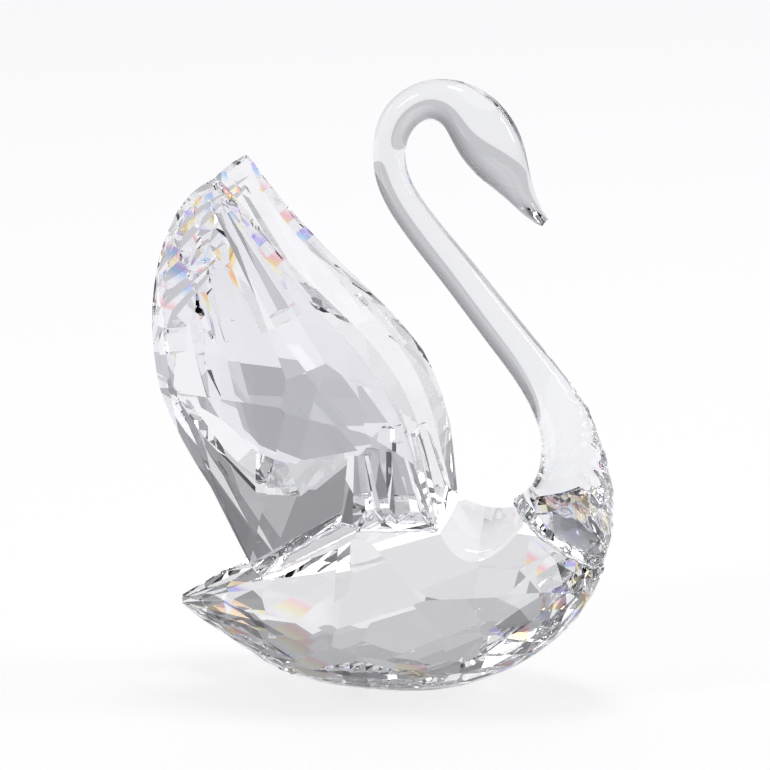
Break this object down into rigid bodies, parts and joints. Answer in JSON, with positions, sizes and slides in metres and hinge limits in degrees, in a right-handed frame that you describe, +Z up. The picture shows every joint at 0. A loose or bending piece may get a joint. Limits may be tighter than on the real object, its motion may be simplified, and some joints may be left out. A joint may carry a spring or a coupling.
{
  "type": "crystal swan figurine",
  "caption": "Clear crystal swan on a small flat foot, with a faceted body, raised faceted wings and a smooth S-shaped neck with a bowed head.",
  "frame": {"origin": "middle of the flat foot under the body", "axes": "+Z up, +X the way the swan faces, +Y to the swan's left"},
  "size_m": [0.0776, 0.0374, 0.1063],
  "materials": {
    "body_crystal": "cut and polished clear crystal",
    "wing_crystal": "cut and polished clear crystal",
    "neck_crystal": "fire-polished clear crystal"
  },
  "bodies": {
    "root": {"body": "body_crystal", "wing_right": "wing_crystal", "wing_left": "wing_crystal", "neck_and_head": "neck_crystal"}
  },
  "joints": []
}
